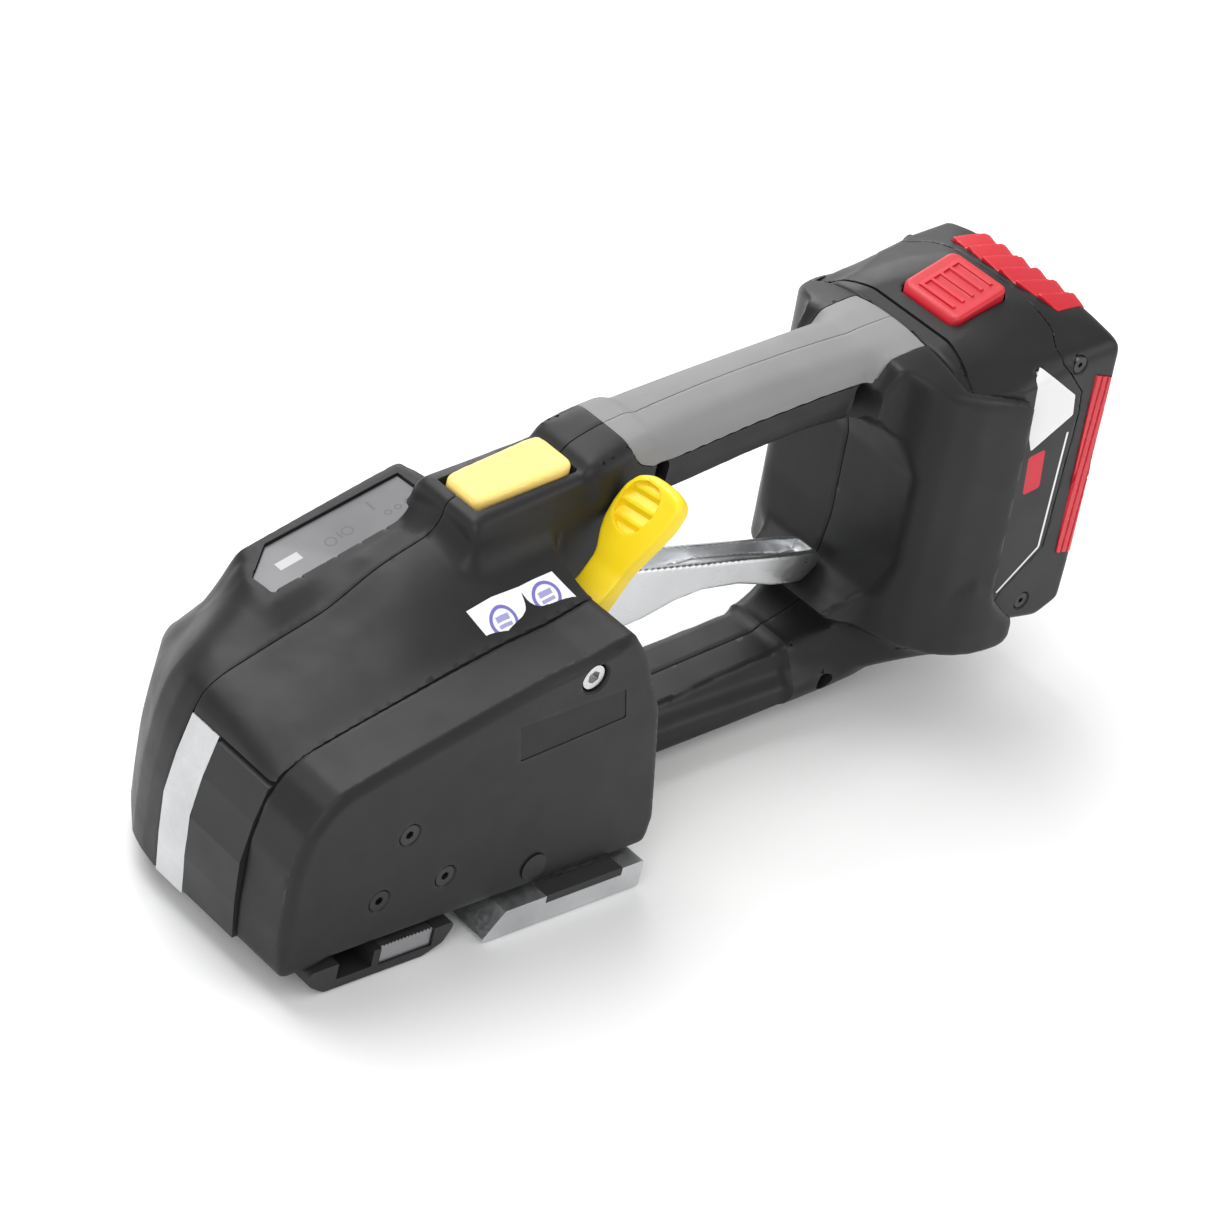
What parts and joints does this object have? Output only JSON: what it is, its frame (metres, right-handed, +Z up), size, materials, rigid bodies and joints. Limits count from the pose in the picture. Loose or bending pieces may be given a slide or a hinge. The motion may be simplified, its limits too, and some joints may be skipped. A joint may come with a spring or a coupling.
{
  "type": "battery strapping tool",
  "caption": "Hand-held battery tool that tensions, friction-welds and cuts plastic strap, with loop handle, release lever, weld lever, strap base plate and slide-on battery.",
  "frame": {"origin": "on the underside of the base plate, in the joint plane of the handle shells, between the welding and tensioning stations", "axes": "+X from the nose towards the battery, +Z up from the base plate, -Y towards the strap side"},
  "size_m": [0.3296, 0.112, 0.1403],
  "materials": {
    "shell_charcoal": "fine satin texture",
    "soft_grip_grey": "soft touch, finely dotted",
    "cast_aluminium": "as cast, lightly blasted",
    "polished_aluminium": "satin polished",
    "yellow_plastic": "smooth moulded",
    "pale_yellow_plastic": "smooth moulded",
    "red_plastic": "moulded",
    "black_steel": "black oxide",
    "bright_steel": "machined",
    "tool_steel": "hardened, ground",
    "display_film": "printed film",
    "white_label": "printed film",
    "blank_plate": "gloss",
    "circuit_board": "solder mask",
    "copper": "wound copper",
    "contact_brass": "plated",
    "belt_rubber": "moulded",
    "bush_rubber": "moulded",
    "block_plastic": "glass filled",
    "cell_wrap": "shrink wrap",
    "cable_sheath": "extruded"
  },
  "bodies": {
    "housing": {"housing_left": "shell_charcoal", "housing_right": "shell_charcoal", "side_cover": "shell_charcoal", "nose_guard": "shell_charcoal", "grip_left": "soft_grip_grey", "grip_right": "soft_grip_grey", "housing_screws": "black_steel", "name_plate_blank": "blank_plate", "gear_frame": "cast_aluminium", "front_skid": "block_plastic", "tooth_plate": "tool_steel", "base_plate": "cast_aluminium", "base_screws": "black_steel", "weld_anvil": "tool_steel", "plate_pad": "bush_rubber", "cover_screws": "black_steel", "cover_top_screw": "bright_steel", "guide_pin": "black_steel", "wheel_guard": "bright_steel", "motor_can": "black_steel", "motor_stator": "copper", "drive_belt": "belt_rubber", "gearhead": "bright_steel", "rocker_spring": "bright_steel", "shaft_bearings": "bright_steel", "lever_pins": "bright_steel", "button_spring": "bright_steel", "switch_board": "circuit_board", "display_film": "display_film", "display_module": "circuit_board", "control_board": "circuit_board", "battery_cables": "cable_sheath", "info_label": "white_label", "battery_rail_block": "block_plastic", "battery_contacts": "contact_brass"},
    "tension_button": {"tension_button": "pale_yellow_plastic"},
    "weld_lever": {"weld_lever": "yellow_plastic"},
    "release_lever": {"release_lever": "polished_aluminium"},
    "rocker": {"rocker_arm": "cast_aluminium", "wheel_bearings": "bright_steel"},
    "motor_rotor": {"motor_rotor": "bright_steel", "motor_pulley": "bright_steel"},
    "drive_pinion": {"drive_pinion": "tool_steel"},
    "tension_wheel": {"tension_wheel": "tool_steel", "wheel_gear": "tool_steel", "wheel_shaft": "bright_steel"},
    "eccentric": {"eccentric_shaft": "bright_steel", "eccentric_pulley": "bright_steel"},
    "weld_arm": {"weld_arm": "bright_steel", "weld_shoe": "tool_steel", "weld_bush": "bush_rubber"},
    "cutter": {"cutter_blade": "tool_steel"},
    "battery": {"battery_shell_front": "shell_charcoal", "battery_shell_rear": "shell_charcoal", "battery_label": "white_label", "battery_top_bumper": "red_plastic", "battery_side_bumpers": "red_plastic", "battery_screws": "black_steel", "battery_cells": "cell_wrap"},
    "battery_button": {"battery_release_button": "red_plastic"}
  },
  "joints": [
    {"name": "tension_button_press", "type": "slide", "parent": "housing", "child": "tension_button", "axis": [0, 0, -1], "range_m": [0, 0.0025], "deforming": ["button_spring"]},
    {"name": "weld_lever_turn", "type": "hinge", "parent": "housing", "child": "weld_lever", "pos_m": [0.006, 0, 0.074], "axis": [0, 1, 0], "range_deg": [0, 28]},
    {"name": "release_lever_squeeze", "type": "hinge", "parent": "housing", "child": "release_lever", "pos_m": [0.02, 0, 0.06], "axis": [0, -1, 0], "range_deg": [0, 16]},
    {"name": "rocker_lift", "type": "hinge", "parent": "housing", "child": "rocker", "pos_m": [-0.034, 0, 0.05], "axis": [0, 1, 0], "range_deg": [0, 9.7], "deforming": ["rocker_spring"]},
    {"name": "motor_spin", "type": "hinge", "parent": "housing", "child": "motor_rotor", "pos_m": [-0.034, 0, 0.05], "axis": [0, 1, 0], "continuous": true},
    {"name": "pinion_spin", "type": "hinge", "parent": "rocker", "child": "drive_pinion", "pos_m": [-0.034, 0, 0.05], "axis": [0, 1, 0], "continuous": true},
    {"name": "wheel_spin", "type": "hinge", "parent": "rocker", "child": "tension_wheel", "pos_m": [-0.05858, 0, 0.03279], "axis": [0, 1, 0], "continuous": true},
    {"name": "eccentric_spin", "type": "hinge", "parent": "housing", "child": "eccentric", "pos_m": [0.005, 0, 0.037], "axis": [0, 1, 0], "continuous": true, "deforming": ["weld_bush"]},
    {"name": "weld_vibration", "type": "slide", "parent": "housing", "child": "weld_arm", "axis": [1, 0, 0], "range_m": [-0.0006, 0.0006], "deforming": ["weld_bush"]},
    {"name": "cutter_drop", "type": "slide", "parent": "housing", "child": "cutter", "axis": [0, 0, -1], "range_m": [0, 0.0025]},
    {"name": "battery_slide", "type": "slide", "parent": "housing", "child": "battery", "axis": [-0.0785, 0, 0.9969], "range_m": [0, 0.115]},
    {"name": "battery_button_press", "type": "slide", "parent": "battery", "child": "battery_button", "axis": [0.0785, 0, -0.9969], "range_m": [0, 0.0025]}
  ],
  "couplings": [
    {"joint": "rocker_lift", "follows": "release_lever_squeeze", "ratio": 0.6},
    {"joint": "pinion_spin", "follows": "wheel_spin", "ratio": -2},
    {"joint": "motor_spin", "follows": "wheel_spin", "ratio": -50},
    {"joint": "eccentric_spin", "follows": "wheel_spin", "ratio": -64.286},
    {"joint": "cutter_drop", "follows": "weld_lever_turn", "m_per_rad": 0.005}
  ]
}
